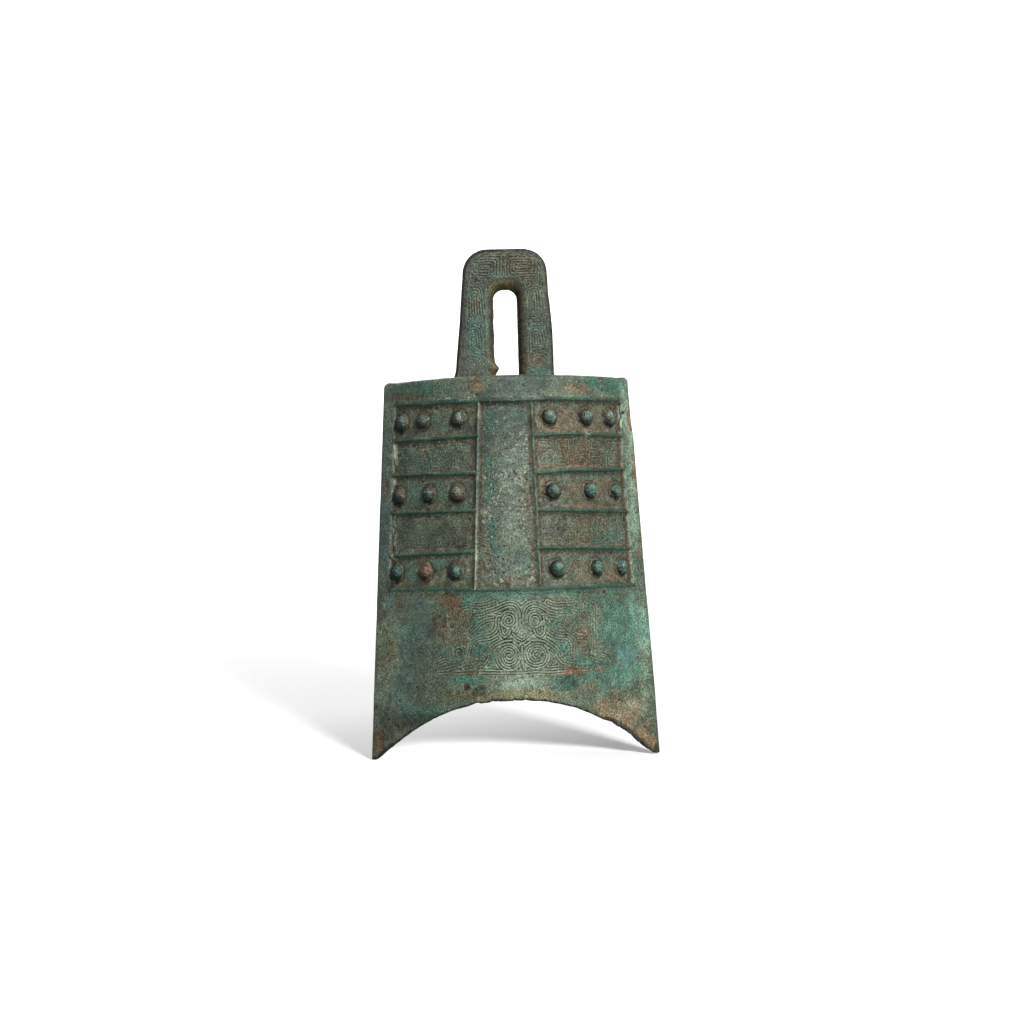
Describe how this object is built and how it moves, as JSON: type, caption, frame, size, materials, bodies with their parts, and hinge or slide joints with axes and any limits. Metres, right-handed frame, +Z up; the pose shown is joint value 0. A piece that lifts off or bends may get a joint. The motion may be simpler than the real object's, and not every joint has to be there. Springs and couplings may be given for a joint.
{
  "type": "bronze bell",
  "caption": "Clapperless bronze chime bell: almond section, arched lip between pointed corners, ribbed and bossed faces, and an upright hanging loop on its flat top.",
  "frame": {"origin": "on the ground midway between the two lip corners that the bell stands on, under its middle", "axes": "+Z up towards the hanging loop, +X to the viewer's right across the broad front face, -Y out of the front face towards the viewer"},
  "size_m": [0.1346, 0.0986, 0.24],
  "materials": {
    "bronze_body": "cast bronze under a matt, grainy green patina with brown earth in the recesses",
    "bronze_loop": "cast bronze, worn grey-green patina with brown earth in fine relief",
    "bronze_boss": "cast bronze, satin dark green patina worn smooth on the domes",
    "bronze_boss_red": "cast bronze with a rust-red copper oxide crust",
    "bronze_spacer": "cast bronze, dark brown, slightly sunk and corroded"
  },
  "bodies": {
    "root": {"bell_body": "bronze_body", "hanging_loop": "bronze_loop", "boss_front_left_top_inner": "bronze_boss", "boss_front_left_top_middle": "bronze_boss", "boss_front_left_top_outer": "bronze_boss", "boss_front_left_middle_inner": "bronze_boss", "boss_front_left_middle_middle": "bronze_boss", "boss_front_left_middle_outer": "bronze_boss", "boss_front_left_bottom_inner": "bronze_boss", "boss_front_left_bottom_middle": "bronze_boss_red", "boss_front_left_bottom_outer": "bronze_boss", "boss_front_right_top_inner": "bronze_boss", "boss_front_right_top_middle": "bronze_boss", "boss_front_right_top_outer": "bronze_boss", "boss_front_right_middle_inner": "bronze_boss", "boss_front_right_middle_middle": "bronze_boss", "boss_front_right_middle_outer": "bronze_boss", "boss_front_right_bottom_inner": "bronze_boss", "boss_front_right_bottom_middle": "bronze_boss", "boss_front_right_bottom_outer": "bronze_boss", "boss_back_left_top_inner": "bronze_boss", "boss_back_left_top_middle": "bronze_boss", "boss_back_left_top_outer": "bronze_boss", "boss_back_left_middle_inner": "bronze_boss", "boss_back_left_middle_middle": "bronze_boss", "boss_back_left_middle_outer": "bronze_boss", "boss_back_left_bottom_inner": "bronze_boss", "boss_back_left_bottom_middle": "bronze_boss", "boss_back_left_bottom_outer": "bronze_boss", "boss_back_right_top_inner": "bronze_boss", "boss_back_right_top_middle": "bronze_boss", "boss_back_right_top_outer": "bronze_boss", "boss_back_right_middle_inner": "bronze_boss", "boss_back_right_middle_middle": "bronze_boss", "boss_back_right_middle_outer": "bronze_boss", "boss_back_right_bottom_inner": "bronze_boss", "boss_back_right_bottom_middle": "bronze_boss", "boss_back_right_bottom_outer": "bronze_boss", "core_spacer_front": "bronze_spacer", "core_spacer_back": "bronze_spacer"}
  },
  "joints": []
}
